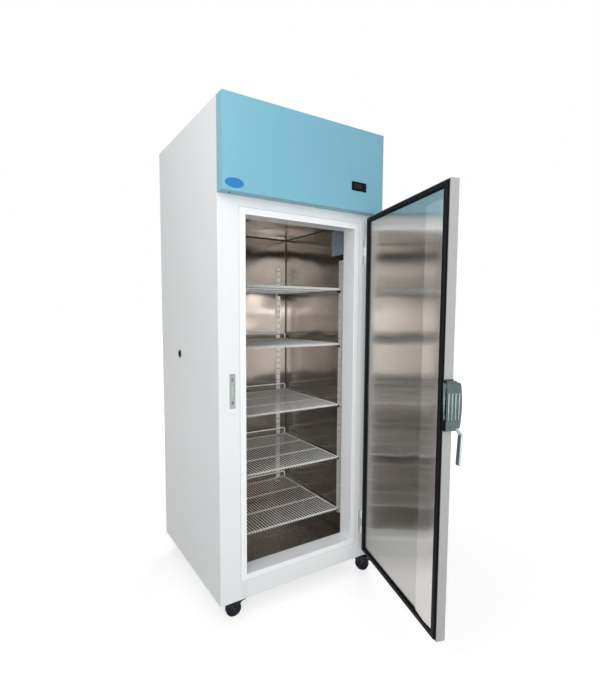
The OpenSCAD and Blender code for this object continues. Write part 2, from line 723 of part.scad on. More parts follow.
// Hermetic shell on four feet
module compressor() color("black") {
    translate([comp_x, comp_y, comp_z]) rotate_extrude() polygon([[0, 0], [comp_d / 2 - 25, 0],
        [comp_d / 2 - 6, 12], [comp_d / 2, 40], [comp_d / 2, comp_h * 0.45], [comp_d / 2 + 4, comp_h * 0.45],
        [comp_d / 2 + 4, comp_h * 0.5], [comp_d / 2, comp_h * 0.5], [comp_d / 2 - 6, comp_h - 40],
        [comp_d / 2 - 30, comp_h - 8], [0, comp_h]]);
    for (x = [-1, 1], y = [-1, 1]) translate([comp_x + x * 80, comp_y + y * 55, deck_top])
        cylinder(r = 12, h = 14);
    block([comp_x - 95, comp_y - 70, comp_z + 1], [comp_x + 95, comp_y + 70, comp_z + 4]);
    bar([comp_x, comp_y, comp_top - 3], [comp_x, comp_y, comp_top + 8], pipe_r + 1.5);
    translate([comp_x - comp_d / 2, comp_y, suction_z]) bar([2, 0, 0], [-10, 0, 0], pipe_r + 1.5);
}

// Finned block: upright fins threaded on tubes from side to side
module fins(w, d, h, pitch) {
    n = floor(w / pitch);
    for (i = [0:n]) block([-w / 2 + i * (w - fin_t) / n, 0, 0], [-w / 2 + i * (w - fin_t) / n + fin_t, d, h]);
    for (z = [h * 0.2, h * 0.5, h * 0.8], y = [d * 0.3, d * 0.7]) bar([-w / 2, y, z], [w / 2, y, z], pipe_r);
}
module condenser_coil() color("peru") translate([cond_x, cond_y, cond_mid_z - cond_h / 2])
    fins(cond_w, cond_depth, cond_h, 18);

module condenser_shroud() color("gray") difference() {
    left = cond_x - cond_w / 2;
    top = cond_mid_z + cond_h / 2;
    block([left, fan_y, deck_top], [left + cond_w, cond_y, top]);
    block([left + shroud_t, fan_y + shroud_t, deck_top - cut],
        [left + cond_w - shroud_t, cond_y + cut, top - shroud_t]);
    translate([cond_x, fan_y - cut, cond_mid_z]) rotate([-90, 0, 0]) cylinder(r = cond_fan_d / 2 + 4,
        h = shroud_t + 2 * cut, $fn = 96);
}

// A fan rotor on the Z axis: hub and pitched blades
module rotor(d, n, h) {
    difference() {
        cylinder(r = d * 0.16, h = h);
        translate([0, 0, -cut]) cylinder(r = shaft_r + shaft_fit, h = h + 2 * cut);
    }
    blade = (h / 2 - 1.5) / sin(28);
    for (k = [0:n - 1]) rotate([0, 0, k * 360 / n]) intersection() {
        cylinder(r = d / 2, h = h);
        translate([0, 0, h / 2]) rotate([28, 0, 0]) block([d * 0.08, -blade, -1], [d / 2 + cut, blade, 1]);
    }
}
module condenser_fan() color("black") translate([cond_x, fan_y + 6 + rotor_h, cond_mid_z]) rotate([90, 0, 0])
    rotor(cond_fan_d, 5, rotor_h);
module evaporator_fan() color("black") translate([well_mid, evap_fan_y, evap_fan_z])
    rotor(evap_fan_d, 5, rotor_h);

// A motor with its shaft pointing down, held by a strap or by three arms with feet
module motor() {
    cylinder(r = 30, h = motor_h);
    translate([0, 0, -rotor_h - 8]) cylinder(r = shaft_r, h = rotor_h + 8 + weld);
}
module fan_motors() color("dimgray") {
    translate([cond_x, fan_y - 4, cond_mid_z]) rotate([90, 0, 0]) {
        foot = cond_fan_d / 2 + 12;
        motor();
        for (a = [30, 150, 270]) rotate([0, 0, a]) {
            block([20, -5, 4], [foot, 5, 7]);
            block([foot - 8, -5, -4], [foot, 5, 7]);
        }
    }
    translate([well_mid, evap_fan_y, evap_fan_z + rotor_h + 8]) {
        motor();
        block([well_a[0] - well_mid, -8, motor_h], [well_b[0] - well_mid, 8, motor_h + 3]);
    }
}

// Copper lines and the filter drier
module run(points) for (i = [0:len(points) - 2]) {
    bar(points[i], points[i + 1], pipe_r);
    if (i > 0) translate(points[i]) sphere(pipe_r);
}
module refrigerant_pipes() color("chocolate") {
    over = cond_mid_z + cond_h / 2 + 12;
    out_x = cond_x + cond_w / 3;
    out_y = cond_y + cond_depth / 2;
    liquid_x = cond_x - cond_w / 2 - 45;
    cover_x = well_b[0] + cover_t;
    run([[comp_x, comp_y, comp_top + 8], [comp_x, comp_y, over], [out_x, comp_y, over], [out_x, out_y, over],
        [out_x, out_y, over - 12]]);
    run([[cond_x - cond_w / 2, out_y, suction_z], [liquid_x, out_y, suction_z],
        [liquid_x, comp_y - 120, suction_z], [cover_x, comp_y - 120, suction_z]]);
    bar([liquid_x, comp_y - 60, suction_z], [liquid_x, comp_y + 50, suction_z], 14);
    run([[comp_x - comp_d / 2 - 10, comp_y, suction_z], [cover_x, comp_y, suction_z]]);
}

// Folded box for the electrics, open at the back
module control_box() color("lightgray") difference() {
    low = [ctrl_x - 4 / 7 * box_w, box_back, deck_top];
    high = low + [box_w, box_d, box_h];
    wall = 2 * [1, 1, 1];
    block(low, high);
    block(low + wall, high - wall + [0, 10, 0]);
}

// Appliance inlet in the back panel, with a recess for the plug
inlet = [28, 20];
inlet_low = [-xs + 41, deck_z + 21];
module power_inlet() color("black") difference() {
    low = inlet_low + [gap, gap];
    high = inlet_low + inlet - [gap, gap];
    block([low[0], cab_d - 30, low[1]], [high[0], cab_d + 1, high[1]]);
    block([low[0] + 3, cab_d - 14, low[1] + 3], [high[0] - 3, cab_d + 1 + cut, high[1] - 3]);
}

// Insulated cover over the well
module evaporator_housing() color("khaki") difference() {
    block([well_a[0] - cover_t, well_a[1] - cover_t, deck_top],
        [well_b[0] + cover_t, well_b[1] + cover_t, cover_top]);
    well(deck_top - cut, cover_top - cover_t);
}
module evaporator_coil() color("silver") translate([well_mid, well_b[1] - coil_d - 10, liner_ceil])
    fins(well_b[0] - well_a[0] - 2 * gap, coil_d, cover_top - cover_t - liner_ceil - coil_room, 16);

// Stainless cover on the ceiling with ring slots under the fan and long slots under the coil
module fan_guard() color("silver") translate([well_mid, 0, liner_ceil - guard_t]) linear_extrude(guard_t)
difference() {
    half = (well_b[0] - well_a[0]) / 2;
    slots_y = well_b[1] - coil_d - 4;
    ring = evap_fan_d / 12;
    rect([-half - 8, well_a[1] - 8], [half + 8, well_b[1] + 8]);
    for (k = [1:6]) translate([0, evap_fan_y]) difference() {
        circle(ring * k - 1);
        circle(ring * (k - 1) + 3);
        for (a = [0, 90]) rotate([0, 0, a]) square([evap_fan_d, 6], center = true);
    }
    for (k = [0:7]) rect([-half + 12, slots_y + k * 20], [half - 12, slots_y + k * 20 + 10]);
}

// Door, modelled closed and then swung open. The skin is a pan with a folded lip at the back
module door_skin() on_door() color("white") difference() {
    block([-door_x, front_y, door_low], [door_x, slab_y, door_high]);
    door_core();
    block([-door_x + lip_w, slab_y - 2 * skin, door_low + lip_w],
        [door_x - lip_w, slab_y + cut, door_high - lip_w]);
}
module door_core() block([-door_x + skin, front_y + skin, door_low + skin],
    [door_x - skin, slab_y - skin, door_high - skin]);
module door_foam() on_door() color("khaki") door_core();
module door_liner() on_door() color("silver")
    block([-door_x + lip_w, slab_y - skin, door_low + lip_w], [door_x - lip_w, slab_y, door_high - lip_w]);

// Magnetic gasket: a flat base, two bellows folds and a rounded crown, mitred at the corners
module gasket_profile() {
    t = gasket_t;
    w = gasket_w;
    rect([0, 0], [t * 0.22, w]);
    rect([0, w * 0.2], [t * 0.5, w * 0.9]);
    rect([0, w * 0.3], [t * 0.62, w * 0.8]);
    rect([t * 0.55, w * 0.16 + t * 0.225], [t, w * 0.92 - t * 0.225]);
    for (z = [w * 0.16, w * 0.92 - t * 0.45]) translate([t * 0.775, z + t * 0.225]) circle(t * 0.225);
}
module gasket_run(half) intersection() {
    plate_yz(-half, 2 * half) gasket_profile();
    plate_xz(-cut, gasket_t + 2 * cut) polygon([[-half, 0], [half, 0], [half - gasket_w, gasket_w],
        [-half + gasket_w, gasket_w]]);
}
module door_gasket() on_door() color([0.08, 0.08, 0.08]) translate([0, slab_y, (door_low + door_high) / 2]) {
    half_x = door_x - gasket_in;
    half_z = (door_high - door_low) / 2 - gasket_in;
    for (m = [0, 1]) {
        mirror([0, 0, m]) translate([0, 0, -half_z]) gasket_run(half_x);
        mirror([m, 0, 0]) translate([-half_x, 0, 0]) rotate([0, 90, 0]) gasket_run(half_z);
    }
}

// Folded stainless strip up the free side, with a ridge along it
module door_strip() on_door() color("silver") {
    inset = gasket_in + gasket_w + 1.5;
    x0 = -door_x + inset;
    x1 = x0 + strip_w;
    low = door_low + inset;
    translate([0, 0, low]) linear_extrude(door_high - 57 - low)
        polygon([[x0, slab_y], [x1, slab_y], [x1, slab_y + 3], [x0 + strip_ridge, slab_y + strip_rise],
            [x0, slab_y + 3]]);
}

// Chrome case on the door's edge, with a crowned housing in front and a slot for the jaw
module latch_case() on_door() color("lightgray") {
    crown_half = latch_h / 2 - 10;
    crown_r = (crown_half * crown_half / latch_crown + latch_crown) / 2;
    difference() {
        union() {
            block([edge_x - 3, front_y, latch_low], [edge_x, case_back, latch_low + latch_h]);
            plate_xz(front_y, case_back - front_y) rounded_rect([edge_x - latch_out, latch_low + 4],
                [edge_x, latch_low + latch_h - 4], 8);
            intersection() {
                plate_xz(front_y - latch_bulge, latch_bulge) rounded_rect(
                    [edge_x - latch_out, latch_low + 10], [edge_x + 24, latch_low + latch_h - 10], 9);
                translate([edge_x - latch_out - cut, front_y - latch_bulge + crown_r, latch_z])
                    rotate([0, 90, 0]) cylinder(r = crown_r, h = latch_out + 24 + 2 * cut, $fn = 240);
            }
        }
        block([edge_x - latch_out / 2 - jaw_w / 2 - gap, case_back - 12 - jaw_travel, jaw_z - slot_half],
            [edge_x - latch_out / 2 + jaw_w / 2 + gap, case_back + cut, jaw_z + slot_half]);
        block([lever_mid_x - lever_w / 2 - gap, front_y - latch_bulge - cut, latch_low - cut],
            [lever_mid_x + lever_w / 2 + gap, front_y - gap, latch_low + 30]);
    }
    translate([lever_mid_x - lever_w / 2 - 4, lever_pivot[0], lever_pivot[1]]) rotate([0, 90, 0])
        cylinder(r = lever_pin_r, h = lever_w + 8);
    for (z = [14, 29, latch_h - 31, latch_h - 15])
        translate([edge_x - latch_out, (front_y + case_back) / 2, latch_low + z])
            rotate([0, -90, 0]) cylinder(r = 3.4, h = 1.6);
}

// Pull lever: a boss on the pivot, an S-shaped neck and a straight grip with a round end
lever_out = 22.5;
lever_neck = 34;
lever_lean = 5;
lever_boss = 8;
function lever_at(t) = t > 1 ? lever_at(1) + (t - 1) * [lever_lean, -lever_l]
    : [-lever_out * (1 - cos(180 * t)) / 2, -lever_neck * t];
function lever_along(t) = let (d = lever_at(t + 0.02) - lever_at(t - 0.02)) d / norm(d);
function lever_side(t, s) = lever_at(t) + s * lever_t / 2 * [-lever_along(t)[1], lever_along(t)[0]];
function lever_end(a) = lever_at(2) + lever_t / 2 * (cos(a) * [-lever_along(2)[1], lever_along(2)[0]]
    + sin(a) * lever_along(2));
module lever_outline() {
    ts = [for (i = [2:12]) i / 12];
    polygon(concat([for (t = ts) lever_side(t, 1)], [for (a = [0:15:180]) lever_end(a)],
        [for (i = [len(ts) - 1:-1:0]) lever_side(ts[i], -1)]));
}
module latch_lever() on_door() color("lightgray")
    translate([lever_mid_x - lever_w / 2, lever_pivot[0], lever_pivot[1]]) difference() {
        union() {
            plate_yz(0, lever_w) circle(lever_boss);
            plate_yz(0, lever_w) lever_outline();
        }
        plate_yz(-cut, lever_w + 2 * cut) circle(lever_pin_r + axle_fit);
    }

// Two-ended jaw that slides in the case's slot
module latch_jaw() on_door() color("gray") {
    x0 = edge_x - latch_out / 2 - jaw_w / 2;
    block([x0, case_back - 11, jaw_z - slot_half + 1],
        [x0 + jaw_w, case_back - 7, jaw_z + slot_half - 1]);
    for (s = [-1, 1]) plate_yz(x0, jaw_w) {
        c = jaw_z + s * (slot_half - 8);
        rect([case_back - 8, c - 7], [case_back - 1, c + 7]);
    }
}

module place() translate([0, -mid_y, 0]) children();

place() side_panel(-1);  // side_panel_left
place() side_panel(1);  // side_panel_right
place() back_panel();
place() base_pan();
place() top_cover();
place() front_frame();
place() kick_panel();
place() door_trim();
place() insulation_left();
place() cabinet_insulation();
place() inner_liner();
place() shelf_standards();
place() shelf_clips();
place() shelf_1();
place() shelf_2();
place() shelf_3();
place() shelf_4();
place() shelf_5();
place() port_sleeve();
place() machine_deck();
place() fascia();
place() controller_bezel();
place() key_up();
place() key_down();
place() badge();
place() panel_screws();
place() strike_plate();
place() hinge_frame_leaves();
place() castor_plates();
place() compressor();
place() condenser_coil();
place() condenser_shroud();
place() fan_motors();
place() condenser_fan();
place() refrigerant_pipes();
place() control_box();
place() power_inlet();
place() evaporator_housing();
place() evaporator_coil();
place() evaporator_fan();
place() fan_guard();
place() castor_fork_fl();
place() castor_fork_fr();
place() castor_fork_rl();
place() castor_fork_rr();
place() castor_wheel_fl();
place() castor_wheel_fr();
place() castor_wheel_rl();
place() castor_wheel_rr();
place() brake_pedal_fl();
place() brake_pedal_fr();
place() door_skin();
place() door_foam();
place() door_liner();
place() door_gasket();
place() door_strip();
place() hinge_door_leaves();
place() latch_case();
place() latch_lever();
place() latch_jaw();
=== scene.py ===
import json
import math

import bpy
from mathutils import Matrix, Vector

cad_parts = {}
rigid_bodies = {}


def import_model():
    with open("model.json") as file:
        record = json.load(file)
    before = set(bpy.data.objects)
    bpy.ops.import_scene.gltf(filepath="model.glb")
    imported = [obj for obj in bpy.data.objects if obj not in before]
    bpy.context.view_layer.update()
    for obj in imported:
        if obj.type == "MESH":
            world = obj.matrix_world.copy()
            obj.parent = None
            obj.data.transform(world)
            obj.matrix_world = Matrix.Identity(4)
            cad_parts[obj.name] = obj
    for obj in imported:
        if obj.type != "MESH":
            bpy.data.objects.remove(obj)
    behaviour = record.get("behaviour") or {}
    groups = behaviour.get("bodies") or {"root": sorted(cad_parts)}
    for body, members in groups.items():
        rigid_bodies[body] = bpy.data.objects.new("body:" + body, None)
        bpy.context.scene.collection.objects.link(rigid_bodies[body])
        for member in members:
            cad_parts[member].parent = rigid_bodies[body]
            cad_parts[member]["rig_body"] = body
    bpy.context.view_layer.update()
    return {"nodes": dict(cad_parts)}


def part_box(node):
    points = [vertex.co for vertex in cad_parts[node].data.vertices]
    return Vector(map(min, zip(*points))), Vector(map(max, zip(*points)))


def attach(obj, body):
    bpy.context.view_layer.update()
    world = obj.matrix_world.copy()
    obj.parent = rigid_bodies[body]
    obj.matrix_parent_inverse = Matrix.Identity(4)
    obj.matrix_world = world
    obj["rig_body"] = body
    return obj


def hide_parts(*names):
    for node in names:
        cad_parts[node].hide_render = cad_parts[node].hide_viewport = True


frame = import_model()
bpy.ops.object.select_all(action="DESELECT")


# The camera stands at the front left, at about chest height, and looks slightly down into the
# open cabinet with a short lens.
eye = Vector((-1.0146, -1.5888, 1.2127))
turn, tilt, lean = math.radians(-32.71), math.radians(-4.62), math.radians(0.30)
bpy.ops.object.camera_add(location=eye)
camera = bpy.context.object
camera.data.lens = 23.16
camera.data.sensor_width = 36
camera.data.clip_end = 60
aim = Matrix.Rotation(turn, 4, "Z") @ Matrix.Rotation(math.pi / 2 + tilt, 4, "X")
camera.rotation_euler = (aim @ Matrix.Rotation(lean, 4, "Z")).to_euler()
bpy.context.scene.camera = camera
bpy.context.scene.view_settings.view_transform = "Standard"


# A pale seamless studio floor that goes over into a white surround, which metal mirrors as well,
# and soft lamps: one high at the left, three panels and a long thin strip in front, one behind.
def seen_or_mirrored(tree):
    """One where the camera, a mirror or glass looks, and zero where light is gathered."""
    ray = tree.nodes.new("ShaderNodeLightPath")
    total = ray.outputs["Is Camera Ray"]
    for kind in ("Is Glossy Ray", "Is Transmission Ray"):
        either = tree.nodes.new("ShaderNodeMath")
        either.operation = "MAXIMUM"
        tree.links.new(total, either.inputs[0])
        tree.links.new(ray.outputs[kind], either.inputs[1])
        total = either.outputs[0]
    return total


floor_span = 60
bpy.ops.mesh.primitive_plane_add(size=floor_span, location=(0, 0, 0))
floor = bpy.context.object
floor.name = "studio_floor"
paper = bpy.data.materials.new("studio paper")
paper.use_nodes = True
tree = paper.node_tree
paper_shader = tree.nodes["Principled BSDF"]
paper_shader.inputs["Roughness"].default_value = 1.0
paper_shader.inputs["Specular IOR Level"].default_value = 0.0
paper_shader.inputs["Emission Color"].default_value = (1, 1, 1, 1)
spot = tree.nodes.new("ShaderNodeTexCoord")
fibres = tree.nodes.new("ShaderNodeTexNoise")
fibres.inputs["Scale"].default_value = 3
fibre_tint = tree.nodes.new("ShaderNodeValToRGB")
for stop, grey in zip(fibre_tint.color_ramp.elements, (0.58, 0.61)):
    stop.color = (grey, grey, grey, 1)
reach = tree.nodes.new("ShaderNodeVectorMath")
reach.operation = "LENGTH"
far = tree.nodes.new("ShaderNodeMapRange")
for label, value in (("From Min", 0.8), ("From Max", 3.5), ("To Min", 0.58), ("To Max", 1.0)):
    far.inputs[label].default_value = value
shine = tree.nodes.new("ShaderNodeMath")
shine.operation = "MULTIPLY"
for a, b in (
    (fibres.outputs["Fac"], fibre_tint.inputs["Fac"]),
    (fibre_tint.outputs["Color"], paper_shader.inputs["Base Color"]),
    (spot.outputs["Object"], fibres.inputs["Vector"]),
    (spot.outputs["Object"], reach.inputs[0]),
    (reach.outputs["Value"], far.inputs["Value"]),
    (far.outputs["Result"], shine.inputs[0]),
    (seen_or_mirrored(tree), shine.inputs[1]),
    (shine.outputs[0], paper_shader.inputs["Emission Strength"]),
):
    tree.links.new(a, b)
floor.data.materials.append(paper)

world = bpy.data.worlds.new("studio")
bpy.context.scene.world = world
world.use_nodes = True
tree = world.node_tree
sky = tree.nodes["Background"]
sky.inputs["Color"].default_value = (1, 1, 1, 1)
level = tree.nodes.new("ShaderNodeMapRange")
level.inputs["To Min"].default_value = 0.2
level.inputs["To Max"].default_value = 1.0
tree.links.new(seen_or_mirrored(tree), level.inputs["Value"])
tree.links.new(level.outputs["Result"], sky.inputs["Strength"])


def soft_lamp(name, place, target, width, height, power):
    """A rectangular lamp at that place, turned to the target."""
    bpy.ops.object.light_add(type="AREA", location=place)
    lamp = bpy.context.object
    lamp.name = name
    lamp.data.shape = "RECTANGLE"
    lamp.data.size, lamp.data.size_y = width, height
    lamp.data.energy = power
    lamp.rotation_euler = (Vector(target) - Vector(place)).to_track_quat("-Z", "Y").to_euler()


soft_lamp("lamp_left_high", (-1.8, -0.6, 2.6), (-0.3, 0.2, 1.2), 1.4, 1.4, 21)
soft_lamp("lamp_front", (-1.6, -2.7, 1.5), (0, 0, 1.0), 2.6, 2.4, 39)
soft_lamp("lamp_strip", (-2.0, -2.4, 1.22), (0, 0.2, 1.2), 2.4, 0.05, 9)
soft_lamp("lamp_front_high", (-0.4, -2.0, 2.4), (0, 0, 1.2), 1.6, 1.6, 13.5)
soft_lamp("lamp_front_low", (-0.6, -3.2, 0.7), (0, 0, 0.9), 1.2, 1.2, 14)
soft_lamp("lamp_rear", (2.2, 2.8, 2.2), (0, 0.3, 1.1), 2.2, 2.2, 66)


# The outer sheets are folded steel with a baked white powder coat: smooth, half gloss, with the
# faint orange peel that such a coat dries to. Their folds are rounded over less than a millimetre.
def surface(name, color, roughness, metallic=0.0):
    """A new material with its shader set to one colour and gloss, ready for its pattern."""
    made = bpy.data.materials.new(name)
    made.use_nodes = True
    shader = made.node_tree.nodes["Principled BSDF"]
    shader.inputs["Base Color"].default_value = (*color, 1)
    shader.inputs["Roughness"].default_value = roughness
    shader.inputs["Metallic"].default_value = metallic
    return made


def new_group(name, numbers, results):
    """An empty node group with number inputs and the named results, and its two end nodes."""
    group = bpy.data.node_groups.new(name, "ShaderNodeTree")
    for label, value in numbers.items():
        socket = group.interface.new_socket(label, in_out="INPUT", socket_type="NodeSocketFloat")
        socket.default_value = value
    for label, kind in results.items():
        group.interface.new_socket(label, in_out="OUTPUT", socket_type=kind)
    return group, group.nodes.new("NodeGroupInput"), group.nodes.new("NodeGroupOutput")


def node_in(tree, kind, **settings):
    """A node of that kind; settings with a name of a socket set its value, the rest its options."""
    node = tree.nodes.new(kind)
    for label, value in settings.items():
        if label in node.inputs:
            node.inputs[label].default_value = value
        else:
            setattr(node, label, value)
    return node


COAT, COAT_IN, COAT_OUT = new_group(
    "coat surface",
    {"Peel size": 900.0, "Peel depth": 0.06, "Cloud size": 6.0, "Cloud": 0.04},
    {"Shade": "NodeSocketFloat", "Gloss": "NodeSocketFloat", "Normal": "NodeSocketVector"},
)
place = node_in(COAT, "ShaderNodeTexCoord")
peel = node_in(COAT, "ShaderNodeTexNoise", Detail=2.0)
cloud = node_in(COAT, "ShaderNodeTexNoise", Detail=4.0, Roughness=0.6)
bump = node_in(COAT, "ShaderNodeBump", Distance=0.0005)
spread = node_in(COAT, "ShaderNodeMath", operation="SUBTRACT")
spread.inputs[1].default_value = 0.5
strength = node_in(COAT, "ShaderNodeMath", operation="MULTIPLY")
shade = node_in(COAT, "ShaderNodeMath", operation="ADD")
shade.inputs[1].default_value = 1.0
for a, b in (
    (place.outputs["Object"], peel.inputs["Vector"]),
    (place.outputs["Object"], cloud.inputs["Vector"]),
    (COAT_IN.outputs["Peel size"], peel.inputs["Scale"]),
    (COAT_IN.outputs["Cloud size"], cloud.inputs["Scale"]),
    (COAT_IN.outputs["Peel depth"], bump.inputs["Strength"]),
    (peel.outputs["Fac"], bump.inputs["Height"]),
    (cloud.outputs["Fac"], spread.inputs[0]),
    (spread.outputs[0], strength.inputs[0]),
    (COAT_IN.outputs["Cloud"], strength.inputs[1]),
    (strength.outputs[0], shade.inputs[0]),
    (shade.outputs[0], COAT_OUT.inputs["Shade"]),
    (strength.outputs[0], COAT_OUT.inputs["Gloss"]),
    (bump.outputs["Normal"], COAT_OUT.inputs["Normal"]),
):
    COAT.links.new(a, b)


def patterned(material, group, values):
    """Lets the group vary the material's colour, gloss and normal, with this piece's values."""
    tree = material.node_tree
    shader = tree.nodes["Principled BSDF"]
    pattern = node_in(tree, "ShaderNodeGroup", node_tree=group)
    for label, value in values.items():
        pattern.inputs[label.replace("_", " ")].default_value = value
    tint = node_in(
        tree, "ShaderNodeMix", data_type="RGBA", blend_type="MULTIPLY", Factor=1.0
    )
    tint.inputs["A"].default_value = shader.inputs["Base Color"].default_value
    rough = node_in(tree, "ShaderNodeMath", operation="ADD", use_clamp=True)
    rough.inputs[1].default_value = shader.inputs["Roughness"].default_value
    for a, b in (
        (pattern.outputs["Shade"], tint.inputs["B"]),
        (tint.outputs["Result"], shader.inputs["Base Color"]),
        (pattern.outputs["Gloss"], rough.inputs[0]),
        (rough.outputs[0], shader.inputs["Roughness"]),
        (pattern.outputs["Normal"], shader.inputs["Normal"]),
    ):
        tree.links.new(a, b)
    return material


def coated(name, color, roughness, metallic=0.0, **values):
    """A surface whose colour, gloss and height vary by the coat group."""
    return patterned(surface(name, color, roughness, metallic), COAT, values)


def finish(node, material):
    """Gives a CAD piece its real finish."""
    frame["nodes"][node].material_slots[0].material = material


def select_only(piece):
    """Makes the piece the only one chosen, and the active one."""
    bpy.ops.object.select_all(action="DESELECT")
    piece.select_set(True)
    bpy.context.view_layer.objects.active = piece


def apply_modifiers(piece):
    """Turns the piece's modifiers into its mesh, in their order."""
    select_only(piece)
    for modifier in list(piece.modifiers):
        bpy.ops.object.modifier_apply(modifier=modifier.name)


def evenly_shaded(piece, angle):
    """Shades folds round up to that angle and leaves flat faces flat."""
    select_only(piece)
    bpy.ops.object.shade_smooth_by_angle(angle=math.radians(angle))
    flat = piece.modifiers.new("flat", "WEIGHTED_NORMAL")
    flat.weight = 100
    flat.keep_sharp = True
    apply_modifiers(piece)
    return piece


def bevelled(piece, width, segments=2, angle=30):
    """Rounds the piece's sharp edges over that width."""
    edge = piece.modifiers.new("edge", "BEVEL")
    edge.width = width
    edge.segments = segments
    edge.limit_method = "ANGLE"
    edge.angle_limit = math.radians(angle)
    apply_modifiers(piece)
    return evenly_shaded(piece, angle)


same_point = 0.00001
same_plane = math.radians(1)


def clean_copy(node, name):
    """A copy of a CAD piece with its loose faces merged, riding where the piece rides."""
    source = frame["nodes"][node]
    piece = bpy.data.objects.new(name, source.data.copy())
    bpy.context.scene.collection.objects.link(piece)
    select_only(piece)
    bpy.ops.object.mode_set(mode="EDIT")
    bpy.ops.mesh.select_all(action="SELECT")
    bpy.ops.mesh.remove_doubles(threshold=same_point)
    bpy.ops.object.mode_set(mode="OBJECT")
    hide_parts(node)
    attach(piece, source["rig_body"])
    return piece


def dressed(piece, material):
    """Gives a new piece its finish."""
    piece.data.materials.clear()
    piece.data.materials.append(material)
    return piece


def plain_copy(node, name):
    """A merged copy of a CAD piece whose flat faces are one face each."""
    piece = clean_copy(node, name)
    bpy.ops.object.mode_set(mode="EDIT")
    bpy.ops.mesh.select_all(action="SELECT")
    bpy.ops.mesh.dissolve_limited(angle_limit=same_plane)
    bpy.ops.object.mode_set(mode="OBJECT")
    return piece


def softened(node, name, width, material, segments=2):
    """A copy of a CAD piece with its sharp folds rounded, which stands for it."""
    piece = plain_copy(node, name)
    bevelled(piece, width, segments)
    return dressed(piece, material)


def smoothed(node, name, material, angle=40):
    """A copy of a CAD piece whose round faces are shaded round, which stands for it."""
    piece = clean_copy(node, name)
    bpy.ops.object.shade_smooth_by_angle(angle=math.radians(angle))
    return dressed(piece, material)


white_coat = coated("white powder coat", (0.778, 0.797, 0.806), 0.34, Cloud=0.04, Peel_depth=0.05)
for node, name in (
    ("side_panel_left", "left_side_sheet"),
    ("side_panel_right", "right_side_sheet"),
    ("front_frame", "front_frame_sheet"),
    ("kick_panel", "kick_sheet"),
):
    softened(node, name, 0.0005, white_coat)
for node in ("back_panel", "top_cover"):
    finish(node, white_coat)


# The fascia is one blue-coated folded sheet over the machine compartment, screwed on from below.
blue_coat = coated("blue powder coat", (0.18, 0.43, 0.54), 0.34, Cloud=0.06, Peel_depth=0.05)
softened("fascia", "fascia_sheet", 0.0012, blue_coat, 3)


# The trim round the opening is white extruded plastic, a thermal break between the outer sheet
# and the liner: smooth, glossier than the sheets, with a soft edge.
trim_white = coated("white trim plastic", (0.86, 0.88, 0.90), 0.24, Cloud=0.03, Peel_depth=0.02)
softened("door_trim", "opening_trim", 0.0009, trim_white, 3)


# The liner and the ceiling grille are stainless sheet with an upright brushed grain that smears
# reflections sideways; the standards are zinc sheet.
GRAIN, GRAIN_IN, GRAIN_OUT = new_group(
    "brushed grain",
    {"Line count": 700.0, "Line length": 0.01, "Depth": 0.1, "Cloud size": 3.0, "Cloud": 0.1,
     "Wave size": 5.0, "Wave": 0.3},
    {"Shade": "NodeSocketFloat", "Gloss": "NodeSocketFloat", "Normal": "NodeSocketVector"},
)
place = node_in(GRAIN, "ShaderNodeTexCoord")
stretch = node_in(GRAIN, "ShaderNodeVectorMath", operation="MULTIPLY")
squeeze = node_in(GRAIN, "ShaderNodeCombineXYZ")
lines = node_in(GRAIN, "ShaderNodeTexNoise", Scale=1.0, Detail=3.0)
cloud = node_in(GRAIN, "ShaderNodeTexNoise", Detail=3.0)
waves = node_in(GRAIN, "ShaderNodeTexNoise", Detail=1.0, Roughness=0.4)
dents = node_in(GRAIN, "ShaderNodeBump", Distance=0.006)
bump = node_in(GRAIN, "ShaderNodeBump", Distance=0.0002)
long_lines = node_in(GRAIN, "ShaderNodeMath", operation="MULTIPLY")
both = node_in(GRAIN, "ShaderNodeMath", operation="ADD")
centred = node_in(GRAIN, "ShaderNodeMath", operation="SUBTRACT")
centred.inputs[1].default_value = 1.0
share = node_in(GRAIN, "ShaderNodeMath", operation="MULTIPLY")
shade = node_in(GRAIN, "ShaderNodeMath", operation="ADD")
shade.inputs[1].default_value = 1.0
for a, b in (
    (GRAIN_IN.outputs["Line count"], squeeze.inputs["X"]),
    (GRAIN_IN.outputs["Line count"], squeeze.inputs["Y"]),
    (GRAIN_IN.outputs["Line count"], long_lines.inputs[0]),
    (GRAIN_IN.outputs["Line length"], long_lines.inputs[1]),
    (long_lines.outputs[0], squeeze.inputs["Z"]),
    (place.outputs["Object"], stretch.inputs[0]),
    (squeeze.outputs["Vector"], stretch.inputs[1]),
    (stretch.outputs["Vector"], lines.inputs["Vector"]),
    (place.outputs["Object"], cloud.inputs["Vector"]),
    (GRAIN_IN.outputs["Cloud size"], cloud.inputs["Scale"]),
    (GRAIN_IN.outputs["Depth"], bump.inputs["Strength"]),
    (lines.outputs["Fac"], bump.inputs["Height"]),
    (place.outputs["Object"], waves.inputs["Vector"]),
    (GRAIN_IN.outputs["Wave size"], waves.inputs["Scale"]),
    (waves.outputs["Fac"], dents.inputs["Height"]),
    (GRAIN_IN.outputs["Wave"], dents.inputs["Strength"]),
    (dents.outputs["Normal"], bump.inputs["Normal"]),
    (lines.outputs["Fac"], both.inputs[0]),
    (cloud.outputs["Fac"], both.inputs[1]),
    (both.outputs[0], centred.inputs[0]),
    (centred.outputs[0], share.inputs[0]),
    (GRAIN_IN.outputs["Cloud"], share.inputs[1]),
    (share.outputs[0], shade.inputs[0]),
    (shade.outputs[0], GRAIN_OUT.inputs["Shade"]),
    (share.outputs[0], GRAIN_OUT.inputs["Gloss"]),
    (bump.outputs["Normal"], GRAIN_OUT.inputs["Normal"]),
):
    GRAIN.links.new(a, b)


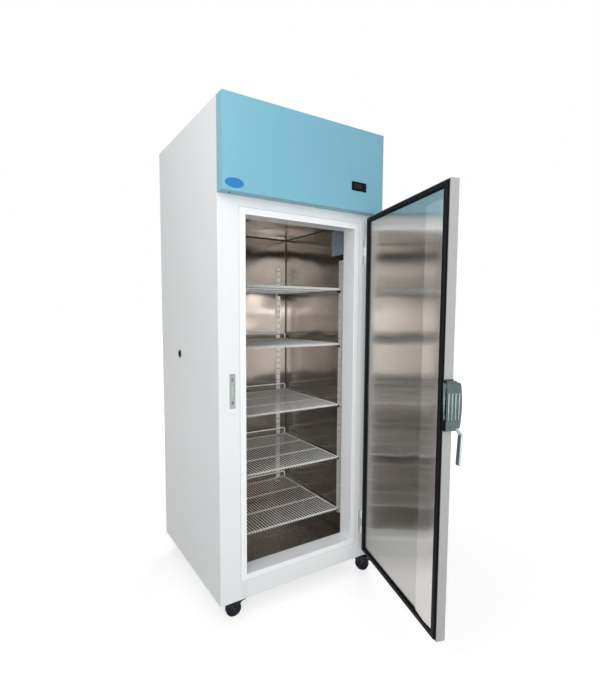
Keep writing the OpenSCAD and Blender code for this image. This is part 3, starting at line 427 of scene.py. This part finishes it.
def brushed(name, color, roughness, smear, **values):
    """Metal whose grain runs up and down, so that it smears reflections sideways."""
    made = surface(name, color, roughness, 1.0)
    tree = made.node_tree
    shader = tree.nodes["Principled BSDF"]
    shader.inputs["Anisotropic"].default_value = smear
    shader.inputs["Anisotropic Rotation"].default_value = 0.25
    upright = node_in(tree, "ShaderNodeCombineXYZ", X=0.013, Y=0.017, Z=1.0)
    tree.links.new(upright.outputs["Vector"], shader.inputs["Tangent"])
    return patterned(made, GRAIN, values)


# The liner's stainless is darker than the door's: painted shade that stands for the gloom inside
# the cabinet.
liner_steel_painted_shade = brushed(
    "liner stainless", (0.375, 0.347, 0.323), 0.18, 1.0, Cloud=0.06, Depth=0.01, Wave=1.0
)
zinc_sheet = coated("zinc sheet", (0.86, 0.85, 0.83), 0.30, 0.25, Cloud=0.08, Peel_size=500.0)
finish("inner_liner", liner_steel_painted_shade)
softened("shelf_standards", "slotted_standards", 0.0003, zinc_sheet, 1)
finish("fan_guard", liner_steel_painted_shade)


# Where the liner's sheets meet, a near-black bead fills the corner: part sealing bead, part painted
# shade of the gap there.
def block(name, low, high):
    """A box between two corners, with its place in its mesh."""
    bpy.ops.object.select_all(action="DESELECT")
    low, high = Vector(low), Vector(high)
    bpy.ops.mesh.primitive_cube_add(size=1, location=(low + high) / 2, scale=high - low)
    piece = bpy.context.object
    piece.name = name
    bpy.ops.object.transform_apply(location=True, rotation=True, scale=True)
    return piece


def choose(piece, kind, test):
    """Opens the piece with only those faces or edges chosen that pass the test."""
    if bpy.context.mode != "OBJECT":
        bpy.ops.object.mode_set(mode="OBJECT")
    select_only(piece)
    bpy.ops.object.mode_set(mode="EDIT")
    bpy.ops.mesh.select_mode(type=kind)
    bpy.ops.mesh.select_all(action="DESELECT")
    bpy.ops.object.mode_set(mode="OBJECT")
    if kind == "FACE":
        for face in piece.data.polygons:
            face.select = test(face.center, face.normal)
    else:
        for edge in piece.data.edges:
            a, b = (piece.data.vertices[i].co for i in edge.vertices)
            edge.select = test((a + b) / 2, (b - a).normalized())
    bpy.ops.object.mode_set(mode="EDIT")


def rounded(piece, test, width, segments, **settings):
    """Rounds only those edges of the piece that pass the test."""
    choose(piece, "EDGE", test)
    bpy.ops.mesh.bevel(offset=width, segments=segments, **settings)
    bpy.ops.object.mode_set(mode="OBJECT")


def joined(pieces, name):
    """Those pieces as one piece of that name."""
    bpy.ops.object.select_all(action="DESELECT")
    for piece in pieces:
        piece.select_set(True)
    bpy.context.view_layer.objects.active = pieces[0]
    bpy.ops.object.join()
    pieces[0].name = name
    return pieces[0]


liner_low, liner_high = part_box("inner_liner")
wall = 0.0011
left, right = liner_low[0] + wall, liner_high[0] - wall
near, rear = liner_low[1] + wall, liner_high[1] - wall
bottom, top = liner_low[2] + wall, liner_high[2] - wall
room = Vector((0, (near + rear) / 2, (bottom + top) / 2))
bead = 0.0042
beads = []
for low, high in (
    ((left, rear - bead, bottom), (left + bead, rear, top)),
    ((right - bead, rear - bead, bottom), (right, rear, top)),
    ((left, rear - bead, top - bead), (right, rear, top)),
    ((left, near, top - bead), (left + bead, rear, top)),
    ((right - bead, near, top - bead), (right, rear, top)),
    ((left, rear - bead, bottom), (right, rear, bottom + bead)),
    ((left, near, bottom), (left + bead, rear, bottom + bead)),
    ((right - bead, near, bottom), (right, rear, bottom + bead)),
):
    length = Vector(high) - Vector(low)
    middle = (Vector(low) + Vector(high)) / 2
    along = max(range(3), key=lambda i: length[i])
    across = [i for i in range(3) if i != along]

    def facing_room(centre, direction):
        return abs(direction[along]) > 0.9 and all(
            (centre[i] - middle[i]) * (room[i] - middle[i]) > 0 for i in across
        )

    beads.append(block("bead", low, high))
    rounded(beads[-1], facing_room, bead * 0.8, 4, profile=0.3)
# The beads' near-black is partly the real joint and partly painted shade in the corners.
sealant_and_shade = coated("dark sealant", (0.035, 0.03, 0.027), 0.45, Peel_size=250.0, Peel_depth=0.2)
seams = joined(beads, "liner_seams")
bpy.ops.object.shade_smooth_by_angle(angle=math.radians(50))
dressed(seams, sealant_and_shade)
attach(seams, "cabinet")


# A thin bead closes the joint round the white trim, and another each joint beside the kick panel;
# its grey is painted shade, the shadow line along each joint.
trim_low, trim_high = (Vector(corner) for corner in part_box("door_trim"))
frame_low, frame_high = (Vector(corner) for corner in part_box("front_frame"))
kick_low, kick_high = (Vector(corner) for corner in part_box("kick_panel"))
joint, proud, bead_depth, bead_edge = 0.0016, 0.0004, 0.002, 0.0003
front = frame_low.y - proud
kick_front = front + proud * 2
back = frame_low.y + bead_depth
kick_top = trim_low.z - joint
beads = []
for low, high in (
    ((trim_low.x - joint, front, trim_low.z - joint), (trim_low.x, back, trim_high.z + joint)),
    ((trim_high.x, front, trim_low.z - joint), (trim_high.x + joint, back, trim_high.z + joint)),
    ((trim_low.x, front, trim_high.z), (trim_high.x, back, trim_high.z + joint)),
    ((trim_low.x, front, trim_low.z - joint), (trim_high.x, back, trim_low.z)),
    ((kick_low.x - joint, kick_front, kick_low.z), (kick_low.x + joint, back, kick_top)),
    ((kick_high.x - joint, kick_front, kick_low.z), (kick_high.x + joint, back, kick_top)),
):
    beads.append(block("bead", low, high))
    rounded(
        beads[-1],
        lambda centre, way: abs(way[1]) < 0.1 and centre[1] < frame_low.y + 0.0005,
        bead_edge,
        2,
    )
# The beads' grey is painted shade: a shadow line along the joints, not the bead's own white.
joint_painted_shade = coated("grey joint bead", (0.42, 0.44, 0.46), 0.5, Peel_size=250.0, Peel_depth=0.1)
front_beads = joined(beads, "front_joint_beads")
dressed(front_beads, joint_painted_shade)
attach(front_beads, "cabinet")


# High on the right wall sits a blank data plate of printed foil on aluminium, held by four rivets.
plate_near, plate_far, plate_bottom, plate_top = 0.099, 0.188, 1.489, 1.605
plate_front, plate_back = right - 0.0007, right - 0.0001
rim, rim_step = 0.003, 0.0002
rivet_radius, rivet_inset, rivet_flatness = 0.0022, 0.0075, 0.4
plate = block(
    "blank_plate",
    (plate_front, plate_near, plate_bottom),
    (plate_back, plate_far, plate_top),
)
rounded(plate, lambda centre, way: abs(way[0]) > 0.9, 0.004, 4)
choose(plate, "FACE", lambda centre, normal: normal[0] < -0.9)
bpy.ops.mesh.inset(thickness=rim)
bpy.ops.transform.translate(value=(rim_step, 0, 0))
bpy.ops.object.mode_set(mode="OBJECT")
rivets = []
for y in (plate_near + rivet_inset, plate_far - rivet_inset):
    for z in (plate_bottom + rivet_inset, plate_top - rivet_inset):
        bpy.ops.mesh.primitive_uv_sphere_add(
            segments=16, ring_count=8, radius=rivet_radius,
            location=(plate_front, y, z), scale=(rivet_flatness, 1, 1),
        )
        rivets.append(bpy.context.object)
        bpy.ops.object.transform_apply(location=True, rotation=True, scale=True)
foil = coated(
    "printed foil", (0.34, 0.42, 0.50), 0.42, Cloud_size=120.0, Cloud=1.2, Peel_depth=0.02
)
joined([plate] + rivets, "blank_plate")
bpy.ops.object.shade_smooth_by_angle(angle=math.radians(40))
dressed(plate, foil)
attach(plate, "cabinet")


# The five shelves are welded steel wire dipped in a white coat, each on four black nylon clips.
wire_white = coated(
    "white dipped wire", (0.94, 0.95, 0.94), 0.34, Peel_size=400.0, Peel_depth=0.15
)
black_nylon = coated("black nylon", (0.012, 0.012, 0.013), 0.42, Peel_size=600.0, Peel_depth=0.2)
for number in range(1, 6):
    smoothed(f"shelf_{number}", f"wire_shelf_{number}", wire_white, 60)
finish("shelf_clips", black_nylon)


# A black sleeve lines the cable port through the left wall.
smoothed("port_sleeve", "cable_port_sleeve", black_nylon)


# The controller is a black bezel with two grey keys and a dark window, on which the unlit
# figures of the display show faintly.
def dulled(material, mirror):
    """Sets how much of a mirror the surface is."""
    shader = material.node_tree.nodes["Principled BSDF"]
    shader.inputs["Specular IOR Level"].default_value = mirror


bezel_black = coated(
    "bezel plastic", (0.003, 0.003, 0.004), 0.35, Peel_size=1200.0, Peel_depth=0.1
)
key_grey = coated("key plastic", (0.022, 0.023, 0.027), 0.5, Peel_size=1500.0, Peel_depth=0.1)
window_black = coated(
    "window glass", (0.0015, 0.0015, 0.002), 0.08, Cloud=0.01, Peel_depth=0.0
)
figure_grey = coated("unlit figures", (0.045, 0.042, 0.05), 0.4, Cloud=0.1, Peel_depth=0.0)
for dark_plastic, mirror in ((bezel_black, 0.06), (key_grey, 0.1), (window_black, 0.06)):
    dulled(dark_plastic, mirror)
softened("controller_bezel", "controller_case", 0.0006, bezel_black, 2)
for node in ("key_up", "key_down"):
    softened(node, node + "_cap", 0.0008, key_grey, 2)
case_low, case_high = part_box("controller_bezel")
key_low, key_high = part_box("key_up")
bezel_rim, key_gap, pane_front, pane_back = 0.0052, 0.0042, 0.0003, 0.0009
window = block(
    "display_window",
    (case_low[0] + bezel_rim, case_low[1] + pane_front, case_low[2] + bezel_rim),
    (key_low[0] - key_gap, case_low[1] + pane_back, case_high[2] - bezel_rim),
)
choose(window, "FACE", lambda centre, normal: normal[1] < -0.9)
bpy.ops.mesh.inset(thickness=0.0008)
bpy.ops.transform.translate(value=(0, -0.0002, 0))
bpy.ops.object.mode_set(mode="OBJECT")
dressed(window, window_black)
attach(window, "cabinet")

figure_w, figure_h, stroke, stroke_depth = 0.0095, 0.0175, 0.0017, 0.0001
figure_pitch, first_figure = 0.0145, 0.0125
front = case_low[1] + stroke_depth / 2
middle_height = (case_low[2] + case_high[2]) / 2
start = Vector((case_low[0] + first_figure, front, middle_height - figure_h / 2))
strokes = []
for figure in range(3):
    corner = start + Vector((figure * figure_pitch, 0, 0))
    for across, up, wide in (
        (0.5, 0, True), (0.5, 0.5, True), (0.5, 1, True),
        (0, 0.25, False), (0, 0.75, False), (1, 0.25, False), (1, 0.75, False),
    ):
        middle = corner + Vector((across * figure_w, 0, up * figure_h))
        length = (figure_w if wide else figure_h / 2) - stroke * 1.3
        size = (length, stroke_depth, stroke) if wide else (stroke, stroke_depth, length)
        half = Vector(size) / 2
        strokes.append(block("stroke", middle - half, middle + half))
        rounded(strokes[-1], lambda centre, way: abs(way[1]) > 0.9, stroke * 0.45, 1)
figures = joined(strokes, "display_figures")
dressed(figures, figure_grey)
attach(figures, "cabinet")


# The badge is a plain oval of blue plastic with a raised rim, stuck to the fascia.
badge_blue = coated("badge plastic", (0.004, 0.17, 0.46), 0.38, Cloud=0.1, Peel_depth=0.02)
rim_width, rim_height, rim_slope = 0.0021, 0.0005, 0.0006
badge = plain_copy("badge", "badge_plate")
choose(badge, "FACE", lambda centre, normal: normal[1] < -0.9)
bpy.ops.mesh.inset(thickness=rim_width)
bpy.ops.transform.translate(value=(0, rim_height, 0))
bpy.ops.mesh.inset(thickness=rim_slope)
bpy.ops.object.mode_set(mode="OBJECT")
bevelled(badge, 0.0003, 2, 40)
dressed(badge, badge_blue)


# The door is a pan of folded sheet round foam with a pale grey coat, a white darkened as painted
# shade on its edge, closed at the back by a bright stainless sheet with a folded strip up its free
# side.
door_coat_painted_shade = coated("pale grey coat", (0.365, 0.375, 0.365), 0.36, Cloud=0.05, Peel_depth=0.05)
door_steel = brushed(
    "door stainless", (0.52, 0.505, 0.485), 0.18, 1.0, Cloud=0.05, Depth=0.01, Wave=0.3
)
strip_steel = brushed(
    "strip stainless", (0.66, 0.64, 0.62), 0.20, 1.0, Cloud=0.05, Depth=0.01, Wave=0.1
)
softened("door_skin", "door_pan", 0.0018, door_coat_painted_shade, 3)
finish("door_liner", door_steel)
softened("door_strip", "door_strip_sheet", 0.0007, strip_steel, 2)


# The seal is a black soft-vinyl extrusion with bellows, mitred and welded at the corners.
vinyl = coated("black vinyl", (0.006, 0.006, 0.007), 0.55, Peel_size=300.0, Peel_depth=0.1)
dulled(vinyl, 0.12)
softened("door_gasket", "door_seal", 0.0005, vinyl, 2)


# The hinges are zinc-plated steel leaves with a pressed-in pin.
zinc = coated(
    "zinc plate", (0.62, 0.64, 0.64), 0.36, 0.9, Cloud=0.12, Peel_size=500.0, Peel_depth=0.1
)
softened("hinge_frame_leaves", "frame_hinge_leaves", 0.0007, zinc)
softened("hinge_door_leaves", "door_hinge_leaves", 0.0007, zinc)


# The latch is a zinc casting with a dark plating, four milled flutes and a steel jaw inside. Its
# lever is brighter, a painted highlight, and a zinc strike on the frame takes the jaw.
# The casting's blotchy cloud pattern is painted reflection: the bright and dark patches that a wavy
# mirror would show.
plated_painted_reflection = coated(
    "plated casting", (0.125, 0.155, 0.155), 0.10, 1.0,
    Cloud=0.5, Cloud_size=45.0, Peel_size=70.0, Peel_depth=0.4,
)
strike_metal = coated("strike casting", (0.36, 0.40, 0.39), 0.28, 1.0, Cloud=0.2, Peel_size=150.0)
door_angle = math.radians(73)
door_swing = Matrix.Rotation(door_angle, 4, "Z")
across_door = door_swing @ Vector((1, 0, 0))
case = plain_copy("latch_case", "latch_case_casting")
corners = [Vector(v.co) for v in case.data.vertices]
screw_head, screw_spread, touching, case_edge = 0.0016, 0.0045, 0.0003, 0.003
screw_reach_low, screw_reach_high, screw_from_front = 0.008, 0.036, 0.0375
face = min(corner.dot(across_door) for corner in corners) + screw_head
inner = max(corner.dot(across_door) for corner in corners)
out_of_door = door_swing @ Vector((0, -1, 0))
case_front = max(corner.dot(out_of_door) for corner in corners)
case_low, case_high = (Vector(corner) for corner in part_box("latch_case"))
screw_line = case_front - screw_from_front


def outline_edge(centre, way):
    """True for the edges of the case's two broad faces, but not for those of its screws."""
    if abs(way.dot(across_door)) >= 0.3:
        return False
    if inner - centre.dot(across_door) < touching:
        return True
    if abs(centre.dot(across_door) - face) >= touching:
        return False
    from_end = min(centre.z - case_low.z, case_high.z - centre.z)
    beside_screws = abs(centre.dot(out_of_door) - screw_line) > screw_spread
    return beside_screws or not screw_reach_low < from_end < screw_reach_high


rounded(case, outline_edge, case_edge, 4, clamp_overlap=True)
flute_radius, flute_depth, flute_pitch = 0.006, 0.0026, 0.0125
flute_length, first_flute, flute_drop = 0.088, 0.011, 0.002
flute_height = (case_low.z + case_high.z) / 2 - flute_drop
flutes = []
for number in range(4):
    out = case_front - first_flute - number * flute_pitch
    centre = across_door * (face - flute_radius + flute_depth) + out_of_door * out
    bpy.ops.object.select_all(action="DESELECT")
    bpy.ops.mesh.primitive_cylinder_add(
        vertices=40, radius=flute_radius, depth=flute_length,
        location=(centre.x, centre.y, flute_height),
    )
    flutes.append(bpy.context.object)
    bpy.ops.object.transform_apply(location=True, rotation=True, scale=True)
cutter = joined(flutes, "flutes")
milled = case.modifiers.new("flutes", "BOOLEAN")
milled.object = cutter
milled.operation = "DIFFERENCE"
milled.solver = "EXACT"
apply_modifiers(case)
bpy.data.objects.remove(cutter)
evenly_shaded(case, 40)
dressed(case, plated_painted_reflection)

lever = plain_copy("latch_lever", "latch_lever_casting")
lever_root, lever_edge = 0.02, 0.0036
grip_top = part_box("latch_lever")[1][2] - lever_root
rounded(
    lever,
    lambda centre, way: abs(way.dot(across_door)) < 0.3 and centre.z < grip_top,
    lever_edge,
    5,
    clamp_overlap=False,
)
evenly_shaded(lever, 35)
# The lever's brighter plating is a painted highlight.
lever_painted_highlight = coated(
    "worn plating", (0.44, 0.49, 0.52), 0.16, 1.0,
    Cloud=0.3, Cloud_size=60.0, Peel_size=90.0, Peel_depth=0.3,
)
dressed(lever, lever_painted_highlight)
softened("strike_plate", "strike_casting", 0.0006, strike_metal)
finish("latch_jaw", zinc)
smoothed("panel_screws", "small_screws", plated_painted_reflection)


# The castors have black nylon wheels in black-coated forks under plates riveted to the base pan.
wheel_black = coated("wheel nylon", (0.010, 0.012, 0.016), 0.45, Peel_size=250.0, Peel_depth=0.12)
fork_black = coated(
    "fork enamel", (0.012, 0.016, 0.022), 0.35, 0.1, Peel_size=500.0, Peel_depth=0.15
)
dulled(wheel_black, 0.12)
dulled(fork_black, 0.12)
for corner in ("fl", "fr", "rl", "rr"):
    smoothed(f"castor_wheel_{corner}", f"wheel_{corner}", wheel_black)
    smoothed(f"castor_fork_{corner}", f"fork_{corner}", fork_black)
for corner in ("fl", "fr"):
    smoothed(f"brake_pedal_{corner}", f"pedal_{corner}", wheel_black)
finish("castor_plates", fork_black)


# Behind the fascia stand the compressor, coils, fans and pipes on a galvanised deck, and rigid
# foam fills the walls, the door and the evaporator's housing.
galvanised = coated("galvanised sheet", (0.48, 0.50, 0.51), 0.4, 0.9, Cloud_size=40.0, Cloud=0.2)
shell_black = coated("compressor enamel", (0.015, 0.015, 0.016), 0.25, Peel_size=300.0)
copper = coated("copper tube", (0.72, 0.33, 0.19), 0.28, 1.0, Cloud_size=20.0, Cloud=0.2)
fin_metal = coated("fin aluminium", (0.62, 0.62, 0.61), 0.4, 1.0, Cloud=0.1)
foam_skin = coated("foam skin", (0.62, 0.50, 0.26), 0.8, Peel_size=200.0, Peel_depth=0.5)
for node in ("base_pan", "machine_deck", "condenser_shroud", "control_box"):
    finish(node, galvanised)
for node in ("insulation_left", "cabinet_insulation", "door_foam", "evaporator_housing"):
    finish(node, foam_skin)
for node in ("condenser_fan", "evaporator_fan", "power_inlet"):
    finish(node, black_nylon)
for node in ("condenser_coil", "evaporator_coil"):
    finish(node, fin_metal)
smoothed("compressor", "compressor_shell", shell_black)
finish("fan_motors", fork_black)
smoothed("refrigerant_pipes", "pipe_runs", copper, 50)
